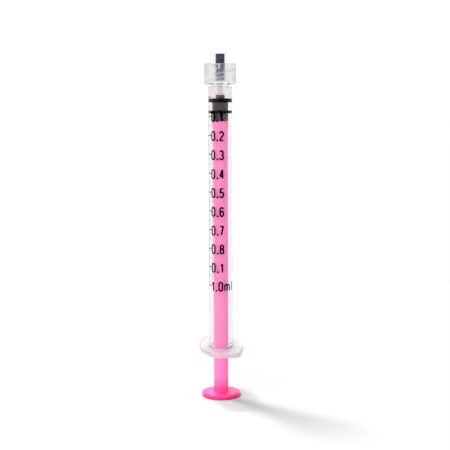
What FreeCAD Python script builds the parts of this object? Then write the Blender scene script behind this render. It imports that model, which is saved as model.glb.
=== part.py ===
import FreeCAD, Part
import math
import os

# One-millilitre luer lock syringe. It stands on its thumb disc with the tip up and
# the plunger pushed home. Millimetres, +Z up the syringe's axis, origin on the axis
# at the underside of the thumb disc. The finger flange's long way runs along Y.

# Bore of the barrel, which the plunger follows
bore_d = 4.86
bore_depth = 73.25
barrel_wall = 0.985
mouth_chamfer = 0.3
bead_height = 0.1
bead_width = 0.5
bead_above_mouth = 0.55

# Finger flange: a long plate with parallel sides, tapered wings and rounded ends
flange_width = 12.4
flange_length = 23.2
flange_t = 1.4
flange_side = 6.6
flange_end = 7.0
flange_end_round = 2.0
flange_side_round = 2.5
flange_edge = 0.35
flange_gusset = 0.5
hub_margin = 0.4

# Nose between the bore and the lock collar
nose_wall = 2.05
nose_round = 0.7
neck_d = 5.0
neck_length = 0.7

# Male taper of the tip, six in a hundred on the diameter
tip_d = 3.96
tip_taper = 0.06
tip_length = 7.8
channel_d = 1.5

# Lock collar with its double-start internal thread
thread_root_d = 8.0
thread_height = 0.5
thread_root_width = 1.0
thread_crest_width = 0.35
thread_lead = 5.0
thread_starts = 2
thread_end_gap = 0.15
collar_wall = 0.5
collar_floor = 0.8
collar_depth = 5.0
collar_bevel = 0.3
collar_lead_in = 0.2

# Dark insert in the tip, with a fine channel of its own
insert_length = 7.6
insert_ledge = 0.1
insert_wall = 0.55
insert_sink = 0.1

# Plunger rod: thumb disc, round rod, guide collar, snap neck and head
disc_d = 11.3
disc_t = 1.3
disc_edge = 0.45
disc_fillet = 0.6
grip_gap = 12.4
guide_length = 2.0
snap_neck_d = 1.7
snap_neck_length = 1.2
snap_head_d = 2.7
snap_head_length = 2.0
snap_head_point = 0.7

# Rubber stopper: skirt, rear ring, waist, front ring and nub
skirt_length = 2.1
rear_ring_width = 0.85
waist_length = 2.25
front_ring_width = 1.2
front_slope = 0.25
ring_height = 0.16
nub_d = 2.5
nub_length = 0.9
nub_round = 0.2

# Bevels of the small corners
small_bevel = 0.2
fine_bevel = 0.1

# Clearances
rod_clearance = 0.33
guide_clearance = 0.12
ring_clearance = 0.03
stopper_seat_gap = 0.05
snap_clearance = 0.05
home_gap = 0.35
nub_side_gap = 0.1
nub_end_gap = 0.25

# Radii worked out from the sizes above
bore_r = bore_d / 2
barrel_r = bore_r + barrel_wall
bead_r = bore_r - bead_height
hub_r = barrel_r + flange_gusset + hub_margin
rod_r = bore_r - rod_clearance
guide_r = bore_r - guide_clearance
ring_r = bore_r - ring_clearance
waist_r = ring_r - ring_height
nub_r = nub_d / 2
recess_r = nub_r + nub_side_gap
channel_r = channel_d / 2
insert_r = channel_r + insert_ledge
tip_r = tip_d / 2
tip_base_r = tip_r + tip_taper * tip_length / 2
thread_root_r = thread_root_d / 2
thread_crest_r = thread_root_r - thread_height
collar_r = thread_root_r + collar_wall
snap_neck_r = snap_neck_d / 2
snap_head_r = snap_head_d / 2

# Heights above the table, from the thumb disc up to the tip
mouth_z = disc_t + grip_gap
flange_top_z = mouth_z + flange_t
bore_end_z = mouth_z + bore_depth
front_z = bore_end_z - home_gap
nub_top_z = front_z + nub_length
recess_top_z = nub_top_z + nub_end_gap
stopper_length = skirt_length + rear_ring_width + waist_length + front_ring_width
stopper_z = front_z - stopper_length
rod_top_z = stopper_z - stopper_seat_gap
shoulder_z = recess_top_z + nose_wall
collar_z = shoulder_z + neck_length
floor_z = collar_z + collar_floor
collar_top_z = floor_z + collar_depth
tip_z = floor_z + tip_length
insert_top_z = tip_z - insert_sink
insert_z = insert_top_z - insert_length

AXIS_FOOT = FreeCAD.Vector(0, 0, 0)
AXIS = FreeCAD.Vector(0, 0, 1)
FULL_TURN = 360
TOUCHING = 1e-6
MOST_OF_A_SIDE = 0.49


def on_section(u, v):
    """A point of a turned section: u is the radius, v the height."""
    return FreeCAD.Vector(u, 0, v)


def on_mouth_plane(u, v):
    """A point of the flange's plan, at the height of the barrel's mouth."""
    return FreeCAD.Vector(u, v, mouth_z)


def corner_turn(back, here, ahead, ease):
    """Where an eased corner starts, its arc's middle point if it is round, and where it stops."""
    if ease == 0:
        return here, None, here
    to_back = back - here
    to_ahead = ahead - here
    half = to_back.getAngle(to_ahead) / 2
    wanted = ease / math.tan(half) if ease > 0 else -ease
    reach = min(wanted, MOST_OF_A_SIDE * to_back.Length, MOST_OF_A_SIDE * to_ahead.Length)
    to_back.normalize()
    to_ahead.normalize()
    start = here + to_back * reach
    stop = here + to_ahead * reach
    if ease < 0:
        return start, None, stop
    radius = reach * math.tan(half)
    inward = to_back + to_ahead
    inward.normalize()
    return start, here + inward * (radius / math.sin(half) - radius), stop


def finished_face(corners, place):
    """A flat face from corners (u, v, ease): above zero the ease is the radius that rounds
    the corner, below zero it is how far back a flat bevel cuts it, and zero leaves it sharp."""
    spots = [place(u, v) for u, v, ease in corners]
    onward = spots[1:] + spots[:1]
    turns = []
    for i in range(len(corners)):
        turns.append(corner_turn(spots[i - 1], spots[i], onward[i], corners[i][2]))
    edges = []
    for i in range(len(turns)):
        start, middle, stop = turns[i]
        leave = turns[i - 1][2]
        if leave.distanceToPoint(start) > TOUCHING:
            edges.append(Part.LineSegment(leave, start).toShape())
        if middle is not None:
            edges.append(Part.Arc(start, middle, stop).toShape())
        elif start.distanceToPoint(stop) > TOUCHING:
            edges.append(Part.LineSegment(start, stop).toShape())
    return Part.Face(Part.Wire(edges))


def turned(corners):
    """A solid of revolution about the syringe's axis from a half section."""
    return finished_face(corners, on_section).revolve(AXIS_FOOT, AXIS, FULL_TURN)


def barrel_tube():
    """Tube, mouth, nose, neck, collar and tip as one turned wall, without the thread."""
    bead_z = mouth_z + bead_above_mouth
    return turned([
        (bore_r + mouth_chamfer, mouth_z, 0),
        (bore_r, mouth_z + mouth_chamfer, 0),
        (bore_r, bead_z - bead_width / 2, 0),
        (bead_r, bead_z, 0),
        (bore_r, bead_z + bead_width / 2, 0),
        (bore_r, bore_end_z, -small_bevel),
        (recess_r, bore_end_z, 0),
        (recess_r, recess_top_z, 0),
        (channel_r, recess_top_z, -small_bevel),
        (channel_r, insert_z, 0),
        (insert_r, insert_z, 0),
        (insert_r, tip_z, 0),
        (tip_r, tip_z, -small_bevel),
        (tip_base_r, floor_z, 0),
        (thread_root_r, floor_z, 0),
        (thread_root_r, collar_top_z - collar_lead_in, 0),
        (thread_root_r + collar_lead_in, collar_top_z, 0),
        (collar_r, collar_top_z, collar_wall - collar_lead_in),
        (collar_r, collar_z, -collar_bevel),
        (neck_d / 2, collar_z, 0),
        (neck_d / 2, shoulder_z, 0),
        (barrel_r, shoulder_z, nose_round),
        (barrel_r, flange_top_z, -flange_gusset),
        (hub_r, flange_top_z, 0),
        (hub_r, mouth_z, 0),
    ])


def finger_flange():
    """The flange plate with its rims bevelled, open where the barrel's hub fills it."""
    across = flange_width / 2
    side = flange_side / 2
    along = flange_length / 2
    end = flange_end / 2
    quarter = [(across, side, flange_side_round), (end, along, flange_end_round)]
    corners = list(quarter)
    corners += [(-u, v, ease) for u, v, ease in reversed(quarter)]
    corners += [(-u, -v, ease) for u, v, ease in quarter]
    corners += [(u, -v, ease) for u, v, ease in reversed(quarter)]
    plate = finished_face(corners, on_mouth_plane).extrude(AXIS * flange_t)
    rims = [edge for edge in plate.Edges if edge.BoundBox.ZLength < flange_edge / 2]
    plate = plate.makeChamfer(flange_edge, rims)
    seat = FreeCAD.Vector(0, 0, mouth_z - flange_t)
    return plate.cut(Part.makeCylinder(hub_r - hub_margin / 2, 3 * flange_t, seat))


def thread_ridge(turn):
    """One start of the collar's right-hand thread, its root sunk into the collar's wall."""
    sunk_r = thread_root_r + collar_wall / 4
    margin = thread_root_width / 2 + thread_end_gap
    rise = collar_depth - collar_lead_in - 2 * margin
    path = Part.makeHelix(thread_lead, rise, thread_root_r)
    section = Part.makePolygon([
        on_section(sunk_r, -thread_root_width / 2),
        on_section(thread_crest_r, -thread_crest_width / 2),
        on_section(thread_crest_r, thread_crest_width / 2),
        on_section(sunk_r, thread_root_width / 2),
        on_section(sunk_r, -thread_root_width / 2),
    ])
    ridge = Part.Wire(path).makePipeShell([section], True, True)
    ridge.translate(FreeCAD.Vector(0, 0, floor_z + margin))
    ridge.rotate(AXIS_FOOT, AXIS, turn)
    return ridge


def barrel():
    """The clear barrel, one moulding from flange to tip."""
    turns = [FULL_TURN * start / thread_starts for start in range(thread_starts)]
    ridges = [thread_ridge(turn) for turn in turns]
    return barrel_tube().fuse([finger_flange()] + ridges).removeSplitter()


def nozzle_insert():
    """Dark insert pressed into the tip down to a small ledge, its own channel open."""
    return turned([
        (insert_r - insert_wall, insert_z, 0),
        (insert_r, insert_z, 0),
        (insert_r, insert_top_z, -fine_bevel),
        (insert_r - insert_wall, insert_top_z, -fine_bevel),
    ])


def plunger_rod():
    """Thumb disc, round rod, guide collar and the snap head that carries the stopper."""
    head_z = rod_top_z + snap_neck_length
    head_top_z = head_z + snap_head_length
    return turned([
        (0, 0, 0),
        (disc_d / 2, 0, -small_bevel),
        (disc_d / 2, disc_t, disc_edge),
        (rod_r, disc_t, disc_fillet),
        (rod_r, rod_top_z - guide_length, 0),
        (guide_r, rod_top_z - guide_length, -small_bevel),
        (guide_r, rod_top_z, -small_bevel),
        (snap_neck_r, rod_top_z, 0),
        (snap_neck_r, head_z, 0),
        (snap_head_r, head_z, -fine_bevel),
        (snap_head_r, head_top_z - snap_head_point, 0),
        (snap_neck_r, head_top_z, 0),
        (0, head_top_z, 0),
    ])


def stopper():
    """Rubber stopper: two seal rings, a waist between them, a nub and the snap cavity."""
    rear_z = stopper_z + skirt_length
    rear_top_z = rear_z + rear_ring_width
    front_ring_z = rear_top_z + waist_length
    neck_r = snap_neck_r + snap_clearance
    head_r = snap_head_r + snap_clearance
    head_z = rod_top_z + snap_neck_length - snap_clearance
    head_top_z = rod_top_z + snap_neck_length + snap_head_length + snap_clearance
    return turned([
        (neck_r, stopper_z, 0),
        (waist_r, stopper_z, -small_bevel),
        (waist_r, rear_z, 0),
        (ring_r, rear_z, -fine_bevel),
        (ring_r, rear_top_z, -fine_bevel),
        (waist_r, rear_top_z, 0),
        (waist_r, front_ring_z, 0),
        (ring_r, front_ring_z, -fine_bevel),
        (ring_r, front_z - front_slope, -fine_bevel),
        (nub_r, front_z, 0),
        (nub_r, nub_top_z, nub_round),
        (0, nub_top_z, 0),
        (0, head_top_z, 0),
        (snap_neck_r, head_top_z, 0),
        (head_r, head_top_z - snap_head_point, 0),
        (head_r, head_z, -fine_bevel),
        (neck_r, head_z, 0),
    ])


os.makedirs("parts", exist_ok=True)
pieces = {
    "plunger_rod": plunger_rod(),
    "stopper": stopper(),
    "barrel": barrel(),
    "nozzle_insert": nozzle_insert(),
}
for name, shape in pieces.items():
    shape.exportStep("parts/" + name + ".step")
    print(name, shape.ShapeType, len(shape.Solids), shape.isValid(), round(shape.Volume, 2), shape.BoundBox)
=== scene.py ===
"""A slim one-millilitre luer lock syringe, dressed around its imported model.

Every piece is a numpy surface in the model's own frame, in metres: x across the finger
flange, y along it, z up the syringe's axis from the underside of the thumb disc.
"""

import math

import bmesh
import bpy
import numpy as np
from mathutils import Matrix, Quaternion, Vector


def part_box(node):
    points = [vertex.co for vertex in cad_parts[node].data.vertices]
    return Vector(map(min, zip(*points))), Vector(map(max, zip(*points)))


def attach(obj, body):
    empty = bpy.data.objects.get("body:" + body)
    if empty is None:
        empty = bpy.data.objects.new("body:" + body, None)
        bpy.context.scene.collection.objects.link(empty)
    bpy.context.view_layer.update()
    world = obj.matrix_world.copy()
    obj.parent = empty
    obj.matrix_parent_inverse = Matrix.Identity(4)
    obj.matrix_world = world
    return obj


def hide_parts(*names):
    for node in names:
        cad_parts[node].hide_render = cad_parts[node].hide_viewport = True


bl_info = {
    "name": "Luer Lock Syringe",
    "version": (1, 0, 0),
    "blender": (4, 5, 0),
    "location": "3D View > Sidebar > Syringe",
    "description": "Builds a one-millilitre luer lock syringe piece by piece",
    "category": "Add Mesh",
}

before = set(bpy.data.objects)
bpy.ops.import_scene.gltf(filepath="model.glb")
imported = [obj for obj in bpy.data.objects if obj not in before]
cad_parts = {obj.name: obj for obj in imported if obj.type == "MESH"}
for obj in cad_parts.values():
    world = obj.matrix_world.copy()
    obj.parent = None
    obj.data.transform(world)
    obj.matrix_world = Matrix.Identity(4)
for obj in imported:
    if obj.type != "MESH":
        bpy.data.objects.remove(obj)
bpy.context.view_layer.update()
BARREL_LOW, BARREL_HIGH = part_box("barrel")
ROD_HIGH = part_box("plunger_rod")[1]
STOPPER_LOW, STOPPER_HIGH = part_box("stopper")
INSERT_LOW, INSERT_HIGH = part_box("nozzle_insert")

MM = 0.001
TAU = 2 * math.pi
RIGHT = math.radians(90)
IMAGE_SIDE_PX = 450


def length(name, description, metres):
    """A length in metres that the user can change."""
    return bpy.props.FloatProperty(
        name=name, description=description, default=metres, min=0.0, precision=5,
        subtype="DISTANCE", unit="LENGTH")


def angle(name, description, degrees):
    """An angle that the user can change, given here in degrees."""
    return bpy.props.FloatProperty(
        name=name, description=description, default=math.radians(degrees), subtype="ANGLE", unit="ROTATION")


def amount(name, description, value):
    """A plain number that the user can change."""
    return bpy.props.FloatProperty(name=name, description=description, default=value, precision=3)


def colour(name, description, rgb):
    """A colour that the user can change."""
    return bpy.props.FloatVectorProperty(
        name=name, description=description, default=rgb, size=3, min=0.0, max=1.0, subtype="COLOR")


class BarrelSizes(bpy.types.PropertyGroup):
    """Sizes of the clear barrel moulding."""

    mouth: length("Mouth height", "Underside of the finger flange above the table", BARREL_LOW.z)
    tip: length("Tip height", "End of the luer tip above the table", BARREL_HIGH.z)
    bore: length("Bore radius", "Inside radius of the tube", 2.43 * MM)
    wall: length("Wall", "Thickness of the tube's wall", 0.985 * MM)
    bore_depth: length("Bore depth", "From the mouth to the end of the bore", 73.25 * MM)
    bead: length("Bead", "Height of the bead inside the mouth that keeps the plunger in", 0.1 * MM)
    flange_half_width: length("Flange half width", "Half the flange's width", BARREL_HIGH.x)
    flange_half_length: length("Flange half length", "Half the flange from end to end", BARREL_HIGH.y)
    flange_thick: length("Flange thickness", "Thickness of the finger flange", 1.4 * MM)
    flange_side: length("Flange side", "Half the length of the flange's parallel sides", 3.3 * MM)
    flange_end: length("Flange end", "Half the width of the flange's ends before rounding", 3.5 * MM)
    flange_rim: length("Flange rim", "Rounding of the flange's rims", 0.42 * MM)
    recess: length("Recess radius", "Recess that takes the stopper's nub", 1.35 * MM)
    recess_depth: length("Recess depth", "Depth of that recess above the bore's end", 0.8 * MM)
    channel: length("Channel radius", "Fluid way through the nose", 0.75 * MM)
    shoulder: length("Shoulder height", "From the bore's end to the top of the nose", 2.85 * MM)
    neck: length("Neck radius", "Radius between the nose and the collar", 2.5 * MM)
    neck_length: length("Neck length", "From the nose to the collar", 0.7 * MM)
    collar: length("Collar radius", "Outside radius of the lock collar", 4.5 * MM)
    collar_floor: length("Collar floor", "Thickness of the collar's floor", 0.8 * MM)
    collar_depth: length("Collar depth", "Depth of the collar above its floor", 5.0 * MM)
    thread_root: length("Thread root radius", "Inside radius of the collar between its ridges", 4.0 * MM)
    thread_height: length("Thread height", "How far a ridge stands out of the collar's wall", 0.36 * MM)
    thread_lead: length("Thread lead", "Rise of one thread start in a full turn", 5.0 * MM)
    tip_radius: length("Tip radius", "Radius of the luer tip at its end", 1.98 * MM)
    taper: amount("Taper", "Change of diameter along the tip", 0.06)


class PlungerSizes(bpy.types.PropertyGroup):
    """Sizes of the pink plunger rod and of the rubber stopper."""

    disc: length("Disc radius", "Radius of the thumb disc", ROD_HIGH.x)
    disc_thick: length("Disc thickness", "Thickness of the thumb disc", 1.3 * MM)
    rod: length("Rod radius", "Radius of the round rod", 2.1 * MM)
    rod_root: length("Rod root", "Sweep from the disc up into the rod", 0.6 * MM)
    rod_top: length("Rod top", "Height of the guide collar's top", STOPPER_LOW.z - 0.05 * MM)
    guide: length("Guide radius", "Radius of the guide collar behind the stopper", 2.31 * MM)
    guide_length: length("Guide length", "Length of the guide collar", 2.0 * MM)
    head: length("Head top", "Height of the snap head's top inside the stopper", ROD_HIGH.z)
    ring: length("Ring radius", "Radius of the stopper's rings, pressed into the bore's wall", 2.442 * MM)
    waist: length("Waist radius", "Radius of the stopper between its rings", 2.24 * MM)
    nub: length("Nub radius", "Radius of the stopper's front nub", 1.25 * MM)
    nub_length: length("Nub length", "Length of the nub", 0.9 * MM)


class PrintSizes(bpy.types.PropertyGroup):
    """Sizes of the printed scale. Turns are measured about the axis from the label side."""

    zero: length("Zero mark", "Above the table", 86.9 * MM)
    facing: angle("Facing", "Turn of the scale's middle about the axis, from straight front", -9.0)
    tick_start: angle("Tick start", "Where the marks begin, left of the middle", -76.0)
    tick_end: angle("Tick end", "Where the long marks end", -51.0)
    digit_height: length("Digit height", "Height of a digit", 2.9 * MM)
    digit_width: length("Digit width", "Width of a digit", 1.42 * MM)
    stroke: length("Stroke", "Width of a digit's stroke", 0.42 * MM)
    ink: length("Ink thickness", "How far the ink stands out of the barrel", 0.01 * MM)


class Finishes(bpy.types.PropertyGroup):
    """Colours of the materials."""

    clear: colour("Clear plastic", "Tint of the tube and of the tip's end", (0.928, 0.903, 0.920))
    nose: colour("Nose tone", "Tint of the thick nose", (0.81, 0.77, 0.755))
    collar: colour("Collar tone", "Tint of the hazy collar", (0.93, 0.925, 0.937))
    # Painted reflection: the pink tint of the flange's rim and underside stands in for light from the pink
    # plunger
    flange: colour("Flange tone", "Tint of the frosted flange's rim and underside", (0.955, 0.90, 0.935))
    # Painted shade: the flange's upper face is tinted grey for the shade on it
    flange_face_painted_shade: colour("Flange face", "Tint of the frosted flange's upper face", (0.90, 0.885, 0.925))
    pink: colour("Pink plastic", "Colour of the plunger rod", (0.87, 0.235, 0.50))
    # Deep pink of the disc and the rod's foot: painted shade for the shadow and the pink light that the
    # disc throws on itself
    pink_deep_and_painted_shade: colour("Deep pink", "Colour of the thumb disc", (0.865, 0.084, 0.272))
    # The stopper body's colour is lighter than the rings': a painted sheen for the reflections in the gap
    # round it
    rubber: colour("Rubber", "Colour of the stopper's dry parts", (0.066, 0.047, 0.057))
    # Rings pressed on the bore, without the body's painted sheen
    rubber_pressed: colour("Pressed rubber", "Colour of the rings, wet on the bore", (0.017, 0.015, 0.017))
    insert: colour("Insert", "Colour of the core in the tip", (0.056, 0.062, 0.082))
    # Middle and low end of the core: painted reflection, the hazy collar's veil of light over it
    insert_mid_painted_reflection: colour("Insert middle", "Colour of the core's middle", (0.035, 0.062, 0.135))
    insert_low_painted_reflection: colour("Insert low end", "Colour of the core's paler low end", (0.20, 0.20, 0.245))
    ink: colour("Ink", "Colour of the scale", (0.020, 0.012, 0.017))
    table: colour("Table", "Colour of the floor", (0.44, 0.44, 0.44))


class StudioSizes(bpy.types.PropertyGroup):
    """Camera and light, measured from the syringe's axis."""

    camera_turn: angle("Camera turn", "About the axis, from straight front", -9.0)
    camera_distance: length("Camera distance", "Level distance from the axis", 312.6 * MM)
    camera_height: length("Camera height", "Above the table", 89.0 * MM)
    camera_pitch: angle("Camera pitch", "How far the camera looks down", 7.06)
    camera_roll: angle("Camera roll", "Lean of the picture", 0.17)
    focal_px: amount("Focal length", "In pixels of the picture", 1093.0)
    axis_left_px: amount("Axis offset", "How far left of the picture's middle the axis stands", 4.4)
    key_turn: angle("Key light turn", "From the far side to the left", 41.0)
    key_height: angle("Key light height", "Above the table", 64.0)
    key_width: angle("Key light width", "As seen from the syringe", 11.0)
    key_strength: amount("Key light strength", "Strength of the key light", 3.7)
    key_through: amount("Key light through", "Share of it that clear plastic lets through", 0.54)
    backdrop: amount("Backdrop", "Brightness behind the syringe", 1.04)
    sides: amount("Sides", "Brightness to the sides", 0.62)
    front: amount("Front", "Brightness on the camera's side", 0.30)
    low_sides: amount("Low sides", "Brightness to the sides, low down", 0.92)
    low_front: amount("Low front", "Brightness on the camera's side, low down", 0.72)
    ceiling: amount("Ceiling", "Brightness added overhead", 0.3)
    fill_turn: angle("Fill light turn", "From the camera to the left", 28.0)
    fill_height: angle("Fill light height", "Above the table", 25.0)
    fill_width: angle("Fill light width", "As seen from the syringe", 80.0)
    fill_strength: amount("Fill light strength", "Strength of the fill light", 2.5)
    black: amount("Black", "Level that the finished picture shows as black", 0.045)


GROUPS = {
    "syringe_barrel": BarrelSizes,
    "syringe_plunger": PlungerSizes,
    "syringe_print": PrintSizes,
    "syringe_finish": Finishes,
    "syringe_studio": StudioSizes,
}


# Outlines and surfaces

# How far outside an arc's end the next point stands, and the most of a side that it may take
HOLD = 0.03 * MM
HOLD_SHARE = 0.03

# The most of a side that the arc at its end may take
LONGEST_REACH = 0.45

# Distance within which a pole's points are merged, in metres
POLE_WELD = 1e-7


def eased_outline(corners, arc_steps=10, closed=False):
    """Points of an outline with rounded corners. A corner is (x, y, radius). Where the radius is
    above zero the corner becomes a circular arc that touches both sides, drawn by turning the
    first spoke of the arc into the last one at an even rate, with one point held just outside
    each end of the arc so that the flats beside it shade flat."""
    points = np.array([corner[:2] for corner in corners], float)
    count = len(points)
    runs = []
    for i, (_, _, radius) in enumerate(corners):
        here = points[i]
        at_end = not closed and i in (0, count - 1)
        if radius <= 0 or at_end:
            runs.append(here[None])
            continue
        back = points[i - 1] - here
        ahead = points[(i + 1) % count] - here
        back_length = np.linalg.norm(back)
        ahead_length = np.linalg.norm(ahead)
        back /= back_length
        ahead /= ahead_length
        half = math.acos(np.clip(back @ ahead, -1, 1)) / 2
        longest = LONGEST_REACH * min(back_length, ahead_length)
        reach = min(radius / math.tan(half), longest)
        spoke = reach * math.tan(half)
        middle = back + ahead
        centre = here + middle / np.linalg.norm(middle) * spoke / math.sin(half)
        sweep = math.pi - 2 * half
        share = np.linspace(0, 1, arc_steps)[:, None]
        first = here + back * reach - centre
        last = here + ahead * reach - centre
        spokes = np.sin((1 - share) * sweep) * first + np.sin(share * sweep) * last
        arc = centre + spokes / math.sin(sweep)
        hold_back = min(HOLD, HOLD_SHARE * back_length)
        hold_ahead = min(HOLD, HOLD_SHARE * ahead_length)
        runs += [arc[:1] + back * hold_back, arc, arc[-1:] + ahead * hold_ahead]
    return np.vstack(runs)


def grid_faces(rows, columns, rows_close, columns_close):
    """Quads of a rows by columns grid of vertices, wrapping round where a direction closes."""
    down = np.arange(rows if rows_close else rows - 1)
    along = np.arange(columns if columns_close else columns - 1)
    i, j = np.meshgrid(down, along, indexing="ij")
    next_i = (i + 1) % rows
    next_j = (j + 1) % columns
    corners = [(i, j), (i, next_j), (next_i, next_j), (next_i, j)]
    return np.stack([row * columns + column for row, column in corners], -1).reshape(-1, 4)


def enclosed_volume(points, quads):
    """Signed volume inside a closed surface: the sum over its triangles of one sixth of the
    triple product of their corners. It is below zero where the faces point inwards."""
    a, b, c, d = (points[quads[:, k]] for k in range(4))
    return (np.einsum("ij,ij->i", a, np.cross(b, c)) + np.einsum("ij,ij->i", a, np.cross(c, d))).sum() / 6


def placed(name, data):
    """A new object in the scene, made from a mesh, a light or a camera."""
    item = bpy.data.objects.new(name, data)
    bpy.context.scene.collection.objects.link(item)
    return item


def closed_mesh(name, points, quads, weld=0.0):
    """A mesh object from vertices and quads, its faces turned outwards; weld merges the
    vertices of each pole, which all lie on one point."""
    if enclosed_volume(points, quads) < 0:
        quads = quads[:, ::-1]
    mesh = bpy.data.meshes.new(name)
    mesh.from_pydata(points.tolist(), [], quads.tolist())
    if weld > 0:
        working = bmesh.new()
        working.from_mesh(mesh)
        bmesh.ops.remove_doubles(working, verts=working.verts, dist=weld)
        working.to_mesh(mesh)
        working.free()
    mesh.polygons.foreach_set("use_smooth", np.ones(len(mesh.polygons), bool))
    mesh.validate()
    return placed(name, mesh)


def turned_points(outline, turns):
    """A surface of revolution as a grid: the point at radius r and height z of the outline goes
    to (r cos t, r sin t, z) for each turn t."""
    radius = outline[:, 0][:, None]
    height = np.broadcast_to(outline[:, 1][:, None], (len(outline), len(turns)))
    return np.stack([radius * np.cos(turns), radius * np.sin(turns), height], -1)


def turned_piece(name, corners, steps=160, arc_steps=10, closed=False):
    """A turned piece from the corners (radius, height, rounding) of its half section."""
    outline = eased_outline(corners, arc_steps, closed)
    turns = np.arange(steps) * TAU / steps
    points = turned_points(outline, turns).reshape(-1, 3)
    quads = grid_faces(len(outline), steps, closed, True)
    return closed_mesh(name, points, quads, 0.0 if closed else POLE_WELD)


# Materials

WHITE = (1.0, 1.0, 1.0)
PLASTIC_IOR = 1.49

# The range that nearly all of the noise keeps to
NOISE_LOW = 0.3
NOISE_HIGH = 0.7

# Places of a Mix node's sockets for colours
MIX_SHARE = 0
MIX_FIRST = 6
MIX_SECOND = 7
MIX_RESULT = 2


def feed(tree, node, inputs):
    """Fills a node's inputs, each named by its label or place: another node's socket is linked
    and anything else becomes the input's own value."""
    for place, value in inputs.items():
        if isinstance(value, bpy.types.NodeSocket):
            tree.links.new(value, node.inputs[place])
        else:
            node.inputs[place].default_value = value


def new_node(tree, kind, inputs, **settings):
    """A shader node of a kind, with its settings and its inputs filled."""
    node = tree.nodes.new("ShaderNode" + kind)
    for name, setting in settings.items():
        setattr(node, name, setting)
    feed(tree, node, inputs)
    return node


def new_material(name):
    """An empty material and its node tree, output and surface shader."""
    material = bpy.data.materials.new(name)
    material.use_nodes = True
    tree = material.node_tree
    tree.nodes.clear()
    shader = new_node(tree, "BsdfPrincipled", {})
    new_node(tree, "OutputMaterial", {"Surface": shader.outputs["BSDF"]})
    return material, tree, shader


def object_place(tree):
    """The place on the piece, in Object coordinates."""
    return new_node(tree, "TexCoord", {}).outputs["Object"]


def noise(tree, scale, stretch=(1.0, 1.0, 1.0), detail=3.0):
    """Noise on Object coordinates, stretched along each axis, with cells 1/scale metres wide."""
    mapping = new_node(tree, "Mapping", {"Vector": object_place(tree), "Scale": stretch})
    vector = mapping.outputs["Vector"]
    return new_node(tree, "TexNoise", {"Vector": vector, "Scale": scale, "Detail": detail}).outputs["Fac"]


def map_range(tree, value, low, high, new_low=0.0, new_high=1.0):
    """The value's place between low and high, carried over to between new_low and new_high."""
    return new_node(tree, "MapRange", {
        "Value": value, "From Min": low, "From Max": high, "To Min": new_low, "To Max": new_high,
    }).outputs["Result"]


def ramped(tree, share, stations):
    """A value or colour that follows a share: stations are (share, result) pairs, joined by
    straight stretches and level beyond the outer two."""
    ramp = new_node(tree, "ValToRGB", {"Fac": share})
    elements = ramp.color_ramp.elements
    for element, (place, result) in zip(elements, (stations[0], stations[-1])):
        element.position = place
        element.color = [*np.broadcast_to(result, 3), 1.0]
    for place, result in stations[1:-1]:
        elements.new(place).color = [*np.broadcast_to(result, 3), 1.0]
    return ramp.outputs["Color"]


def between(tree, fac, low, high):
    """A value that goes from low to high with the noise."""
    return map_range(tree, fac, NOISE_LOW, NOISE_HIGH, low, high)


def tinted(tree, fac, rgb, share):
    """A colour that goes from slightly darker than rgb to rgb itself with the noise."""
    darker = [c * (1 - share) for c in rgb]
    return ramped(tree, fac, [(NOISE_LOW, darker), (NOISE_HIGH, rgb)])


def bumped(tree, shader, fac, strength, depth):
    """Fine relief of the surface from the noise."""
    bump = new_node(tree, "Bump", {"Height": fac, "Strength": strength, "Distance": depth})
    feed(tree, shader, {"Normal": bump.outputs["Normal"]})


def following(tree, value, stations):
    """A value or colour that follows another value: stations are (value, result) pairs, joined by
    straight stretches."""
    low = stations[0][0]
    high = stations[-1][0]
    share = map_range(tree, value, low, high)
    return ramped(tree, share, [((place - low) / (high - low), result) for place, result in stations])


def by_height(tree, stations):
    """A value or colour that changes with height: stations are (height, value) pairs."""
    parted = new_node(tree, "SeparateXYZ", {"Vector": object_place(tree)})
    return following(tree, parted.outputs["Z"], stations)


def by_radius(tree, radius, inner, outer):
    """A value that steps from inner to outer at a distance from the axis."""
    soft = 0.05 * MM
    level = new_node(tree, "VectorMath", {0: object_place(tree), 1: (1.0, 1.0, 0.0)}, operation="MULTIPLY")
    distance = new_node(tree, "VectorMath", {0: level.outputs["Vector"]}, operation="LENGTH")
    return map_range(tree, distance.outputs["Value"], radius - soft, radius + soft, inner, outer)


def mixed(tree, share, first, second):
    """A colour that goes from the first to the second as the share goes from 0 to 1."""
    inputs = {MIX_SHARE: share, MIX_FIRST: first, MIX_SECOND: second}
    return new_node(tree, "Mix", inputs, data_type="RGBA").outputs[MIX_RESULT]


def joined(tree, operation, first, second):
    """Two values added or multiplied, or the larger of them."""
    return new_node(tree, "Math", {0: first, 1: second}, operation=operation).outputs["Value"]


def times(tree, first, second):
    """The product of two colours or values."""
    return new_node(tree, "VectorMath", {0: first, 1: second}, operation="MULTIPLY").outputs["Vector"]


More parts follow.
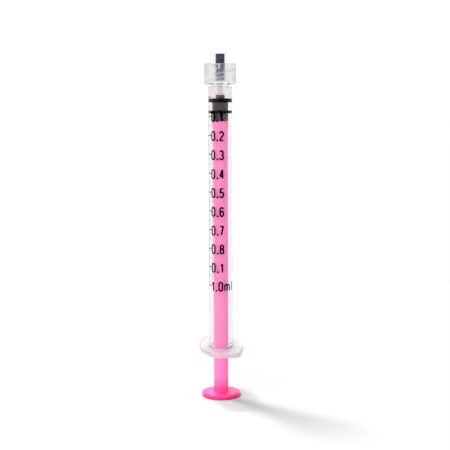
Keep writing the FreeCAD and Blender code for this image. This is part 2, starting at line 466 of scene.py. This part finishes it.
def clear_plastic(finish, sizes):
    """Clear moulded plastic, tinted and polished by height. The flange's and the collar's outer
    faces, which alone lie beyond the thread's root, are rough and a little milky. All nearer the
    axis is clear and smooth. Faint flow ripples run up the tube, and the flange is mottled by
    its mould. The flange's tints are painted light: its rim and underside are tinted pink, a
    painted reflection of the pink plunger, and its upper face is tinted grey, painted shade."""
    material, tree, shader = new_material("clear_moulding")
    flow = noise(tree, 260.0, (1.0, 1.0, 0.25), 2.0)
    mottle = noise(tree, 900.0, (1.0, 1.0, 0.6), 4.0)
    flange_top = sizes.mouth + sizes.flange_thick
    rim_high = flange_top - 0.3 * MM
    face_low = flange_top - 0.1 * MM
    face_high = flange_top + 0.2 * MM
    tube_low = flange_top + 0.8 * MM
    bore_end = sizes.mouth + sizes.bore_depth
    tube_high = bore_end - 0.2 * MM
    nose_low = bore_end + 0.2 * MM
    nose_high = bore_end + sizes.shoulder
    collar_low = nose_high + sizes.neck_length
    collar_high = sizes.tip - 2.8 * MM
    tip_low = sizes.tip - 2.2 * MM
    polish = by_height(tree, [
        (sizes.mouth, 0.2), (face_high, 0.2),
        (tube_low, 0.04), (tube_high, 0.04),
        (nose_high, 0.08), (collar_high, 0.08),
        (tip_low, 0.05), (sizes.tip, 0.04),
    ])
    outside = sizes.thread_root + 0.25 * MM
    rough = joined(tree, "MAXIMUM", polish, by_radius(tree, outside, 0.0, 0.295))
    # The flange's tints in this ramp are painted light: a pink reflection on the rim and underside, shade
    # on the upper face
    tone = by_height(tree, [
        (sizes.mouth, finish.flange), (rim_high, finish.flange),
        (face_low, finish.flange_face_painted_shade), (face_high, finish.flange_face_painted_shade),
        (tube_low, finish.clear), (tube_high, finish.clear),
        (nose_low, finish.nose), (nose_high, finish.nose),
        (collar_low, finish.collar), (collar_high, finish.collar),
        (tip_low, finish.clear), (sizes.tip, finish.clear),
    ])
    smooth = by_height(tree, [
        (sizes.mouth, 0.6), (rim_high, 0.6),
        (face_low, 0.0), (face_high, 0.0),
        (tube_low, 1.0), (sizes.tip, 1.0),
    ])
    patches = mixed(tree, smooth, tinted(tree, mottle, WHITE, 0.3), tinted(tree, flow, WHITE, 0.02))
    milky = by_height(tree, [
        (sizes.mouth, 0.82), (face_high, 0.82),
        (tube_low, 0.92), (nose_high, 0.92),
        (collar_low, 0.96), (sizes.tip, 0.96),
    ])
    feed(tree, shader, {
        "Base Color": times(tree, tone, patches),
        "Roughness": times(tree, rough, between(tree, flow, 0.95, 1.05)),
        "Transmission Weight": joined(tree, "MAXIMUM", milky, by_radius(tree, outside, 1.0, 0.0)),
        "IOR": PLASTIC_IOR,
    })
    relief = mixed(tree, smooth, mottle, between(tree, flow, 0.48, 0.52))
    bumped(tree, shader, relief, 0.6, 0.25 * MM)
    return material


def pink_plastic(finish, sizes):
    """Satin coloured plastic: cloudy pigment, fine grain and a little light let through. The thumb
    disc is deeper in colour and the rod pales above it: painted shade, standing in for the shadow
    on the disc and round the rod's foot and for the pink light that the disc throws on itself."""
    material, tree, shader = new_material("pink_moulding")
    cloud = noise(tree, 180.0, (1.0, 1.0, 0.4))
    grain = noise(tree, 4200.0)
    # Over this height the disc's painted shade fades into the rod's own pink
    painted_shade_reach = 4.5 * MM
    tone = by_height(tree, [
        (0.0, finish.pink_deep_and_painted_shade), (sizes.disc_thick, finish.pink_deep_and_painted_shade),
        (sizes.disc_thick + painted_shade_reach, finish.pink), (sizes.rod_top, finish.pink),
    ])
    feed(tree, shader, {
        "Base Color": times(tree, tone, tinted(tree, cloud, WHITE, 0.05)),
        "Roughness": between(tree, cloud, 0.20, 0.27),
        "IOR": PLASTIC_IOR,
        "Specular IOR Level": 0.2,
        "Subsurface Weight": 0.4,
        "Subsurface Radius": (1.0, 0.12, 0.25),
        "Subsurface Scale": 1.5 * MM,
    })
    bumped(tree, shader, grain, 0.08, 0.02 * MM)
    return material


def black_rubber(finish, bands):
    """Black rubber: matt, with a fine moulded grain and a grey bloom in patches. The bands, as
    (low, high) heights, are the rings, pressed against the bore. Elsewhere the rubber is given a
    lighter colour than the rings: a painted sheen, standing in for the reflections in the air gap
    between the rubber and the bore, which the pressed rings lack."""
    material, tree, shader = new_material("black_rubber")
    bloom = noise(tree, 700.0)
    grain = noise(tree, 6000.0)
    beyond = 5.0 * MM
    edge = 0.05 * MM
    stations = [(bands[0][0] - beyond, finish.rubber)]
    for low, high in bands:
        stations += [(low - edge, finish.rubber), (low, finish.rubber_pressed)]
        stations += [(high, finish.rubber_pressed), (high + edge, finish.rubber)]
    stations.append((bands[-1][1] + beyond, finish.rubber))
    # Between and behind the rings the lighter tone is painted sheen
    tone = by_height(tree, stations)
    feed(tree, shader, {
        "Base Color": times(tree, tone, tinted(tree, bloom, WHITE, 0.3)),
        "Roughness": between(tree, bloom, 0.34, 0.46),
        "Specular IOR Level": 0.15,
    })
    bumped(tree, shader, grain, 0.12, 0.02 * MM)
    return material


def dark_insert(finish):
    """Near-black navy core of the tip, satin, slightly uneven. It turns bluer and then paler towards
    its low end, inside the collar: painted reflection, standing in for the veil of light that the
    hazy collar lays over it.
    """
    material, tree, shader = new_material("dark_insert")
    patch = noise(tree, 900.0)
    low = INSERT_LOW.z
    high = INSERT_HIGH.z
    # Bluer and paler low down, where the collar covers the core: painted reflection
    tone = by_height(tree, [
        (low, finish.insert_low_painted_reflection), (0.9 * low + 0.1 * high, finish.insert_low_painted_reflection),
        (0.45 * low + 0.55 * high, finish.insert_mid_painted_reflection), (0.38 * low + 0.62 * high, finish.insert_mid_painted_reflection),
        (0.3 * low + 0.7 * high, finish.insert), (high, finish.insert),
    ])
    feed(tree, shader, {
        "Base Color": times(tree, tone, tinted(tree, patch, WHITE, 0.35)),
        "Roughness": between(tree, patch, 0.3, 0.45),
        "Specular IOR Level": 0.15,
    })
    return material


def scale_ink(rgb):
    """Black printing ink: matt, a little thin in places."""
    material, tree, shader = new_material("scale_ink")
    thin = noise(tree, 2600.0)
    feed(tree, shader, {
        "Base Color": tinted(tree, thin, rgb, 0.5),
        "Roughness": between(tree, thin, 0.45, 0.6),
        "Specular IOR Level": 0.1,
    })
    return material


def table_white(rgb):
    """Matt white table top with a barely visible cloudiness."""
    material, tree, shader = new_material("table_white")
    cloud = noise(tree, 6.0)
    tone = tinted(tree, cloud, rgb, 0.01)
    feed(tree, shader, {"Base Color": tone, "Roughness": 0.9, "Specular IOR Level": 0.1})
    return material


def dress(piece, material, body):
    """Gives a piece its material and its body."""
    piece.data.materials.append(material)
    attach(piece, body)


# The clear barrel

BARREL_STEPS = 288
WALL_RINGS = 63
FACE_RINGS = 4
COLLAR_LEAD_IN = 0.2 * MM


def flange_outline(sizes, turns):
    """Distance from the axis to the flange's outline in each direction: the eight-cornered plan
    with rounded corners, drawn densely and read off by direction."""
    across = sizes.flange_half_width
    along = sizes.flange_half_length
    side_corner = (across, sizes.flange_side, 2.5 * MM)
    end_corner = (sizes.flange_end, along, 2.0 * MM)
    corners = []
    for x_way, y_way, step in ((1, 1, 1), (-1, 1, -1), (-1, -1, 1), (1, -1, -1)):
        corners += [(x_way * x, y_way * y, radius) for x, y, radius in (side_corner, end_corner)[::step]]
    plan = eased_outline(corners, 60, True)
    loop = np.vstack([plan, plan[:1]])
    share = np.linspace(0, 1, 40, endpoint=False)[:, None, None]
    dense = loop[None, :-1] * (1 - share) + loop[None, 1:] * share
    dense = dense.transpose(1, 0, 2).reshape(-1, 2)
    direction = np.arctan2(dense[:, 1], dense[:, 0]) % TAU
    order = np.argsort(direction)
    return np.interp(turns, direction[order], np.hypot(*dense[order].T), period=TAU)


def thread_relief(sizes, floor, turn, height):
    """How far the double-start right-hand thread stands out of the collar's wall at a turn and a
    height. Along each start the ridge's middle climbs by one lead a turn. The relief is one near
    that middle, falls to nothing over the flank on either side, and fades out past the first
    and the last height that the middle reaches. Its ends are eased by the curve 3 t2 - 2 t3."""
    lead = sizes.thread_lead
    pitch = lead / 2
    margin = 0.65 * MM
    half_width = 0.7 * MM
    flank = 0.25 * MM
    fade = 0.18 * MM
    lowest = floor + margin
    highest = floor + sizes.collar_depth - COLLAR_LEAD_IN - margin
    off = (height - lowest - lead * turn / TAU + pitch / 2) % pitch - pitch / 2
    middle = height - off
    ridge = np.clip((half_width - np.abs(off)) / flank, 0, 1)
    risen = np.clip((middle - lowest + fade) / fade, 0, 1)
    not_over = np.clip((highest + fade - middle) / fade, 0, 1)
    relief = ridge * (risen * not_over)
    return sizes.thread_height * relief * relief * (3 - 2 * relief)


def barrel_grid(sizes, turns):
    """The whole barrel as one closed grid of rings. Each ring is a point of the half section
    turned about the axis. Three stretches depend on the direction as well: the flange's faces
    and rim reach out to the flange's outline, and the collar's wall carries the thread."""
    bore = sizes.bore
    outer = bore + sizes.wall
    mouth = sizes.mouth
    flange_top = mouth + sizes.flange_thick
    bore_end = mouth + sizes.bore_depth
    recess_top = bore_end + sizes.recess_depth
    seat = INSERT_LOW.z
    insert = INSERT_HIGH.x
    shoulder = bore_end + sizes.shoulder
    collar_low = shoulder + sizes.neck_length
    floor = collar_low + sizes.collar_floor
    collar_top = floor + sizes.collar_depth
    tip_base = sizes.tip_radius + sizes.taper * (sizes.tip - floor) / 2
    wall_low = floor + 0.3 * MM
    flange_foot = outer + 1.0 * MM
    mouth_lead_in = 0.2 * MM
    bead_height = mouth + 0.55 * MM
    bead_reach = 0.22 * MM
    inner = eased_outline([
        (bore + mouth_lead_in, mouth, 0),
        (bore, mouth + mouth_lead_in, 0.08 * MM),
        (bore, bead_height - bead_reach, 0.08 * MM),
        (bore - sizes.bead, bead_height, 0.2 * MM),
        (bore, bead_height + bead_reach, 0.1 * MM),
        (bore, bore_end, 0.08 * MM),
        (sizes.recess, bore_end, 0.04 * MM),
        (sizes.recess, recess_top, 0.08 * MM),
        (sizes.channel, recess_top, 0.1 * MM),
        (sizes.channel, seat, 0.02 * MM),
        (insert, seat, 0.02 * MM),
        (insert, sizes.tip, 0.06 * MM),
        (sizes.tip_radius, sizes.tip, 0.22 * MM),
        (tip_base, floor, 0.25 * MM),
        (sizes.thread_root, floor, 0.2 * MM),
        (sizes.thread_root, wall_low, 0),
    ])
    wall_heights = np.linspace(wall_low, collar_top - COLLAR_LEAD_IN, WALL_RINGS + 1)[1:]
    rim = eased_outline([
        (sizes.thread_root, collar_top - COLLAR_LEAD_IN, 0),
        (sizes.thread_root + COLLAR_LEAD_IN, collar_top, 0.1 * MM),
        (sizes.collar, collar_top, 0.25 * MM),
        (sizes.collar, collar_low, 0.4 * MM),
        (sizes.neck, collar_low, 0.25 * MM),
        (sizes.neck, shoulder, 0.25 * MM),
        (outer, shoulder, 0.7 * MM),
        (outer, flange_top, 0.5 * MM),
        (flange_foot, flange_top, 0),
    ])[1:]
    steps = len(turns)
    outline = flange_outline(sizes, turns)
    ease = sizes.flange_rim
    spread = np.linspace(0, 1, FACE_RINGS + 1)[1:, None]
    top_face = flange_foot + (outline - ease - HOLD - flange_foot) * spread
    round_turn = np.linspace(0, RIGHT, 9)[:, None]
    top_rim = outline - ease + ease * np.sin(round_turn)
    low_rim = outline - ease + ease * np.cos(round_turn)
    low_start = bore + 0.5 * MM
    low_face = low_start + (outline - ease - HOLD - low_start) * spread[::-1]
    low_edge = np.full((1, steps), low_start)
    flange_radius = np.vstack([top_face, top_rim, low_rim, low_face, low_edge])
    flange_height = np.concatenate([
        np.full(FACE_RINGS, flange_top),
        flange_top - ease + ease * np.cos(round_turn[:, 0]),
        mouth + ease - ease * np.sin(round_turn[:, 0]),
        np.full(FACE_RINGS + 1, mouth),
    ])
    thread = thread_relief(sizes, floor, turns[None, :], wall_heights[:, None])
    wall_radius = sizes.thread_root - thread
    radius = np.vstack([
        np.repeat(inner[:, :1], steps, 1),
        wall_radius,
        np.repeat(rim[:, :1], steps, 1),
        flange_radius,
    ])
    height = np.concatenate([inner[:, 1], wall_heights, rim[:, 1], flange_height])
    height = np.repeat(height[:, None], steps, 1)
    return np.stack([radius * np.cos(turns), radius * np.sin(turns), height], -1)


class SYRINGE_OT_barrel(bpy.types.Operator):
    """Builds the clear barrel with its flange, lock collar and luer tip"""

    bl_idname = "syringe.barrel"
    bl_label = "Clear barrel"

    def execute(self, context):
        sizes = context.scene.syringe_barrel
        turns = np.arange(BARREL_STEPS) * TAU / BARREL_STEPS
        grid = barrel_grid(sizes, turns)
        quads = grid_faces(grid.shape[0], grid.shape[1], True, True)
        barrel = closed_mesh("clear_barrel", grid.reshape(-1, 3), quads)
        dress(barrel, clear_plastic(context.scene.syringe_finish, sizes), "barrel")
        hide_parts("barrel")
        barrel.visible_diffuse = False
        return {"FINISHED"}


class SYRINGE_OT_insert(bpy.types.Operator):
    """Builds the dark core in the luer tip"""

    bl_idname = "syringe.insert"
    bl_label = "Tip insert"

    def execute(self, context):
        seated = 0.008 * MM
        outer = INSERT_HIGH.x + seated
        way = 0.3 * MM
        core = turned_piece("tip_core", [
            (way, INSERT_LOW.z - seated, 0.02 * MM),
            (outer, INSERT_LOW.z - seated, 0.03 * MM),
            (outer, INSERT_HIGH.z, 0.12 * MM),
            (way, INSERT_HIGH.z, 0.1 * MM),
        ], closed=True)
        dress(core, dark_insert(context.scene.syringe_finish), "barrel")
        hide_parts("nozzle_insert")
        return {"FINISHED"}


class SYRINGE_OT_stopper(bpy.types.Operator):
    """Builds the rubber stopper with its two rings, waist, nub and snap cavity"""

    bl_idname = "syringe.stopper"
    bl_label = "Rubber stopper"

    def execute(self, context):
        sizes = context.scene.syringe_plunger
        rear = STOPPER_LOW.z
        nub_top = STOPPER_HIGH.z
        front = nub_top - sizes.nub_length
        ring = sizes.ring
        waist = sizes.waist
        front_ring = front - 1.2 * MM
        rear_ring_top = front_ring - 2.25 * MM
        rear_ring = rear_ring_top - 0.85 * MM
        neck = 0.9 * MM
        cavity = 1.4 * MM
        cavity_low = rear + 1.1 * MM
        cavity_top = rear + 3.2 * MM
        rubber = turned_piece("rubber_stopper", [
            (0, nub_top, 0),
            (sizes.nub, nub_top, 0.22 * MM),
            (sizes.nub, front, 0.12 * MM),
            (ring, front - 0.05 * MM, 0.06 * MM),
            (ring, front_ring, 0.06 * MM),
            (waist, front_ring, 0.08 * MM),
            (waist, rear_ring_top, 0.08 * MM),
            (ring, rear_ring_top, 0.06 * MM),
            (ring, rear_ring, 0.06 * MM),
            (waist, rear_ring, 0.08 * MM),
            (waist, rear, 0.2 * MM),
            (neck, rear, 0.1 * MM),
            (neck, cavity_low, 0.08 * MM),
            (cavity, cavity_low, 0.1 * MM),
            (cavity, rear + 2.5 * MM, 0.15 * MM),
            (0.85 * MM, cavity_top, 0.15 * MM),
            (0, cavity_top, 0),
        ])
        bands = [(rear_ring, rear_ring_top), (front_ring, front)]
        dress(rubber, black_rubber(context.scene.syringe_finish, bands), "stopper")
        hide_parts("stopper")
        return {"FINISHED"}


class SYRINGE_OT_plunger(bpy.types.Operator):
    """Builds the pink plunger rod with its thumb disc, guide collar and snap head"""

    bl_idname = "syringe.plunger"
    bl_label = "Plunger rod"

    def execute(self, context):
        sizes = context.scene.syringe_plunger
        top = sizes.rod_top
        neck = 0.85 * MM
        head = 1.35 * MM
        head_low = top + 1.2 * MM
        rod = turned_piece("pink_plunger", [
            (0, 0, 0),
            (sizes.disc, 0, 0.5 * MM),
            (sizes.disc, sizes.disc_thick, 0.55 * MM),
            (sizes.rod, sizes.disc_thick, sizes.rod_root),
            (sizes.rod, top - sizes.guide_length, 0.06 * MM),
            (sizes.guide, top - sizes.guide_length, 0.15 * MM),
            (sizes.guide, top, 0.2 * MM),
            (neck, top, 0.15 * MM),
            (neck, head_low, 0.1 * MM),
            (head, head_low, 0.1 * MM),
            (head, sizes.head - 0.7 * MM, 0.2 * MM),
            (neck, sizes.head, 0.15 * MM),
            (0, sizes.head, 0),
        ], steps=192, arc_steps=12)
        dress(rod, pink_plastic(context.scene.syringe_finish, sizes), "plunger")
        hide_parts("plunger_rod")
        return {"FINISHED"}


# The printed scale

def bow(x, y, half_width, half_height, start, stop, steps=14):
    """Points of an ellipse's arc between two directions in degrees."""
    t = np.radians(np.linspace(start, stop, steps))
    return np.stack([x + half_width * np.cos(t), y + half_height * np.sin(t)], -1)


def line(*points):
    """Points of a straight or broken stroke."""
    return np.array(points, float)


# Middle lines of each character's strokes, in a box one wide and one high
STROKES = {
    "0": [np.vstack([
        bow(0.5, 0.77, 0.5, 0.23, 0, 180), bow(0.5, 0.23, 0.5, 0.23, 180, 360), line((1, 0.77))])],
    "1": [line((0.62, 0), (0.62, 1)), line((0.62, 0.97), (0.45, 0.84), (0.14, 0.76))],
    "2": [
        np.vstack([bow(0.5, 0.74, 0.5, 0.26, 172, -25), line((0.12, 0.14), (0.02, 0))]),
        line((0, 0), (1, 0)),
    ],
    "3": [bow(0.46, 0.76, 0.46, 0.24, 160, -90), bow(0.46, 0.26, 0.54, 0.26, 90, -160)],
    "4": [line((0.74, 0), (0.74, 1)), line((0.7, 1), (0, 0.28)), line((0, 0.28), (1.05, 0.28))],
    "5": [
        line((0.95, 1), (0.14, 1)),
        np.vstack([line((0.14, 1), (0.06, 0.52)), bow(0.46, 0.31, 0.54, 0.31, 135, -155)]),
    ],
    "6": [
        bow(0.5, 0.29, 0.5, 0.29, 0, 360, 24),
        np.vstack([line((0, 0.29), (0, 0.7)), bow(0.5, 0.72, 0.5, 0.28, 175, 18)]),
    ],
    "7": [line((0, 1), (1, 1)), line((0.98, 1), (0.6, 0.5), (0.38, 0))],
    "8": [bow(0.5, 0.76, 0.44, 0.24, 0, 360, 24), bow(0.5, 0.27, 0.5, 0.27, 0, 360, 24)],
}
M_STROKES = [
    line((0, 0), (0, 0.72)),
    np.vstack([bow(0.25, 0.52, 0.25, 0.2, 180, 0), line((0.5, 0))]),
    np.vstack([bow(0.75, 0.52, 0.25, 0.2, 180, 0), line((1, 0))]),
]
L_STROKES = [line((0, 0), (0, 1))]

# Last digit of each label from 0.1 down; the ninth label reads 0.1 once more
TENTHS = "123456781"


def resampled(path, step):
    """The same path with points no further apart than step, so that it can follow the barrel."""
    legs = np.linalg.norm(np.diff(path, axis=0), axis=1)
    along = np.concatenate([[0], np.cumsum(legs)])
    fine = np.linspace(0, along[-1], max(2, int(along[-1] / step) + 2))
    every = np.union1d(along, fine)
    return np.stack([np.interp(every, along, path[:, 0]), np.interp(every, along, path[:, 1])], -1)


def stroke_film(path, half_width, radius, low, high):
    """A stroke as a closed film on the barrel. Each point of the path gets a left and a right
    neighbour, square to the path there, and is wrapped on the barrel: the way across becomes
    a turn about the axis, and the way up stays a height."""
    path = resampled(path, 0.12 * MM)
    run = np.gradient(path, axis=0)
    run /= np.linalg.norm(run, axis=1)[:, None]
    side = np.stack([-run[:, 1], run[:, 0]], -1) * half_width
    corners = [(path + side, low), (path - side, low), (path - side, high), (path + side, high)]
    rings = []
    for flat, depth in corners:
        turn = flat[:, 0] / radius - RIGHT
        rings.append(np.stack([depth * np.cos(turn), depth * np.sin(turn), flat[:, 1]], -1))
    points = np.stack(rings, 1).reshape(-1, 3)
    quads = grid_faces(len(path), 4, False, True)
    last = len(points)
    ends = np.array([[0, 1, 2, 3], [last - 1, last - 2, last - 3, last - 4]])
    return points, np.vstack([quads, ends])


def scale_strokes(sizes, radius, spacing):
    """Every stroke of the scale on the unrolled barrel, as (path, half width) pairs. A mark
    starts at one turn and runs to its stop. A character fills a box as wide and high as given,
    less half a stroke all round, and its row hangs a little below its mark's middle."""
    strokes = []
    half = sizes.stroke / 2
    unit_half = half * 0.9
    wide = sizes.digit_width
    tall = sizes.digit_height
    start = sizes.tick_start
    long_stop = sizes.tick_end
    middle_stop = start + 0.62 * (long_stop - start)
    short_stop = start + 0.36 * (long_stop - start)

    def tick(height, stop, half_width):
        strokes.append((line((start * radius, height), (stop * radius, height)), half_width))

    def glyph(parts, left, bottom, width=wide, half_width=half):
        box = np.array([width - 2 * half_width, tall - 2 * half_width])
        for part in parts:
            strokes.append((part * box + (left + half_width, bottom + half_width), half_width))

    def point(left, bottom):
        strokes.append((line((left, bottom), (left, bottom + 0.5 * MM)), 0.26 * MM))

    def row_bottom(tenth):
        return sizes.zero - spacing * tenth - tall / 2 - 0.14 * MM

    for hundredth in range(101):
        height = sizes.zero - spacing * hundredth / 10
        if hundredth % 10 == 0:
            tick(height, long_stop, 0.13 * MM)
        elif hundredth % 5 == 0:
            tick(height, middle_stop, 0.09 * MM)
        else:
            tick(height, short_stop, 0.07 * MM)
    for tenth, digit in enumerate(TENTHS, start=1):
        bottom = row_bottom(tenth)
        glyph(STROKES["0"], -2.92 * MM, bottom)
        point(-0.84 * MM, bottom)
        glyph(STROKES[digit], -0.36 * MM, bottom)
    bottom = row_bottom(10)
    glyph(STROKES["1"], -3.1 * MM, bottom)
    point(-1.3 * MM, bottom)
    glyph(STROKES["0"], -0.75 * MM, bottom)
    glyph(M_STROKES, 1.0 * MM, bottom, 1.9 * MM, unit_half)
    glyph(L_STROKES, 3.5 * MM, bottom, 0.4 * MM, unit_half)
    return strokes


class SYRINGE_OT_scale(bpy.types.Operator):
    """Prints the scale on the barrel: marks, digits and the unit"""

    bl_idname = "syringe.scale"
    bl_label = "Printed scale"

    def execute(self, context):
        sizes = context.scene.syringe_print
        barrel = context.scene.syringe_barrel
        radius = barrel.bore + barrel.wall
        spacing = 100 * MM ** 3 / (math.pi * barrel.bore ** 2)
        points = []
        quads = []
        count = 0
        for path, half_width in scale_strokes(sizes, radius, spacing):
            some, faces = stroke_film(path, half_width, radius, radius - sizes.ink / 2, radius + sizes.ink)
            points.append(some)
            quads.append(faces + count)
            count += len(some)
        points = np.vstack(points)
        facing = np.array(Matrix.Rotation(sizes.facing, 3, "Z"))
        scale = closed_mesh("printed_scale", points @ facing.T, np.vstack(quads))
        scale.data.polygons.foreach_set("use_smooth", np.zeros(len(scale.data.polygons), bool))
        dress(scale, scale_ink(context.scene.syringe_finish.ink), "barrel")
        return {"FINISHED"}


# The studio

# The studio's brightest level, and the cosine past which its walls are the backdrop
BRIGHTEST = 4.0
BACKDROP_FROM = 0.86

# Half the side of the square floor, in metres
FLOOR_HALF = 3.0


def level_ramp(tree, value, stations):
    """A brightness that follows a value: stations are (value, brightness) pairs, joined by
    straight stretches. A ramp holds nothing above 1, so it holds shares of the brightest."""
    shares = [(place, brightness / BRIGHTEST) for place, brightness in stations]
    return joined(tree, "MULTIPLY", following(tree, value, shares), BRIGHTEST)


def white_surround(studio, away):
    """A white studio whose brightness depends on the direction alone. The backdrop is white. The
    sides and the camera's side are dimmer, most of all above a low band, and the ceiling adds a
    little. The walls follow the cosine between a direction and the way away from the camera,
    and the low band and the ceiling follow the sine of its height."""
    world = bpy.data.worlds.new("white_studio")
    world.use_nodes = True
    tree = world.node_tree
    tree.nodes.clear()
    way = new_node(tree, "TexCoord", {}).outputs["Generated"]
    along = new_node(tree, "VectorMath", {0: way, 1: away}, operation="DOT_PRODUCT").outputs["Value"]
    up = new_node(tree, "SeparateXYZ", {"Vector": way}).outputs["Z"]
    backdrop = [(BACKDROP_FROM, studio.backdrop), (1, studio.backdrop)]
    walls = level_ramp(tree, along, [(-1, studio.front), (0.2, studio.sides), *backdrop])
    low_walls = level_ramp(tree, along, [(-1, studio.low_front), (-0.4, studio.low_sides), *backdrop])
    low_part = level_ramp(tree, up, [(0, 1), (0.2, 1), (0.35, 0), (1, 0)])
    ceiling = level_ramp(tree, up, [(0, 0), (0.1, 0), (0.5, studio.ceiling), (1, studio.ceiling)])
    walls = joined(tree, "MAXIMUM", walls, joined(tree, "MULTIPLY", low_walls, low_part))
    total = joined(tree, "ADD", walls, ceiling)
    light = new_node(tree, "Background", {"Color": (*WHITE, 1.0), "Strength": total})
    new_node(tree, "OutputWorld", {"Surface": light.outputs["Background"]})
    world.cycles.sampling_method = "NONE"
    return world


def sun_light(name, level_way, height, width, strength, passes):
    """A far, soft light seen from the syringe along a level direction at a height. It isn't seen
    through clear plastic. A collection, where one is given, names the pieces that don't shade
    the others from it."""
    lamp = bpy.data.lights.new(name, "SUN")
    lamp.angle = width
    lamp.energy = strength
    light = placed(name, lamp)
    aim = level_way * math.cos(height) + Vector((0, 0, math.sin(height)))
    light.rotation_mode = "QUATERNION"
    light.rotation_quaternion = aim.to_track_quat("Z", "Y")
    light.visible_transmission = False
    if passes:
        light.light_linking.blocker_collection = passes
    return light


class SYRINGE_OT_stage(bpy.types.Operator):
    """Sets up the pale floor, the white studio, the lights and the camera"""

    bl_idname = "syringe.stage"
    bl_label = "Stage"

    def execute(self, context):
        scene = context.scene
        studio = scene.syringe_studio
        turn = studio.camera_turn
        to_camera = Vector((math.sin(turn), -math.cos(turn), 0))
        to_right = Vector((math.cos(turn), math.sin(turn), 0))
        scene.world = white_surround(studio, -to_camera)
        view = scene.view_settings
        view.view_transform = "Standard"
        view.use_curve_mapping = True
        view.curve_mapping.black_level = [studio.black] * 3
        view.curve_mapping.update()

        low = -0.01 * MM
        half = FLOOR_HALF
        corners = [(-half, -half, low), (half, -half, low), (half, half, low), (-half, half, low)]
        mesh = bpy.data.meshes.new("table")
        mesh.from_pydata(corners, [], [(0, 1, 2, 3)])
        table = placed("table", mesh)
        mesh.materials.append(table_white(scene.syringe_finish.table))

        yaw = math.atan(studio.axis_left_px / studio.focal_px)
        level = -to_camera * math.cos(yaw) + to_right * math.sin(yaw)
        look = level * math.cos(studio.camera_pitch) - Vector((0, 0, math.sin(studio.camera_pitch)))
        lens = bpy.data.cameras.new("camera")
        lens.sensor_width = 36.0
        lens.lens = studio.focal_px / IMAGE_SIDE_PX * lens.sensor_width
        lens.clip_start = 0.01
        camera = placed("camera", lens)
        camera.rotation_mode = "QUATERNION"
        lean = Quaternion((0, 0, 1), -studio.camera_roll)
        camera.rotation_quaternion = look.to_track_quat("-Z", "Y") @ lean
        camera.location = to_camera * studio.camera_distance + Vector((0, 0, studio.camera_height))
        scene.camera = camera

        through = bpy.data.collections.new("lets_light_through")
        through.objects.link(bpy.data.objects["clear_barrel"])
        through.collection_objects[0].light_linking.link_state = "EXCLUDE"
        key_way = -to_camera * math.cos(studio.key_turn) - to_right * math.sin(studio.key_turn)
        key_place = (key_way, studio.key_height, studio.key_width)
        key_share = studio.key_strength * studio.key_through
        key = sun_light("key_through", *key_place, key_share, through)
        key.light_linking.receiver_collection = through
        sun_light("key_stopped", *key_place, studio.key_strength - key_share, None)
        fill_way = to_camera * math.cos(studio.fill_turn) - to_right * math.sin(studio.fill_turn)
        fill_place = (fill_way, studio.fill_height, studio.fill_width)
        fill = sun_light("fill", *fill_place, studio.fill_strength, through)
        fill.visible_glossy = False
        return {"FINISHED"}


class SYRINGE_PT_panel(bpy.types.Panel):
    """Lists the syringe's pieces and the stage in the order they are made"""

    bl_idname = "SYRINGE_PT_panel"
    bl_label = "Luer Lock Syringe"
    bl_space_type = "VIEW_3D"
    bl_region_type = "UI"
    bl_category = "Syringe"

    def draw(self, context):
        for operator in OPERATORS:
            self.layout.operator(operator.bl_idname)


OPERATORS = (
    SYRINGE_OT_barrel,
    SYRINGE_OT_insert,
    SYRINGE_OT_stopper,
    SYRINGE_OT_plunger,
    SYRINGE_OT_scale,
    SYRINGE_OT_stage,
)


def register():
    """Registers the settings, the operators and the panel."""
    for name, group in GROUPS.items():
        bpy.utils.register_class(group)
        setattr(bpy.types.Scene, name, bpy.props.PointerProperty(type=group))
    for operator in OPERATORS:
        bpy.utils.register_class(operator)
    bpy.utils.register_class(SYRINGE_PT_panel)


def unregister():
    """Takes the panel, the operators and the settings away again."""
    bpy.utils.unregister_class(SYRINGE_PT_panel)
    for operator in reversed(OPERATORS):
        bpy.utils.unregister_class(operator)
    for name, group in GROUPS.items():
        delattr(bpy.types.Scene, name)
        bpy.utils.unregister_class(group)


def main():
    """Builds every piece and the stage."""
    register()
    bpy.ops.syringe.barrel()
    bpy.ops.syringe.insert()
    bpy.ops.syringe.stopper()
    bpy.ops.syringe.plunger()
    bpy.ops.syringe.scale()
    bpy.ops.syringe.stage()


if __name__ == "__main__":
    main()
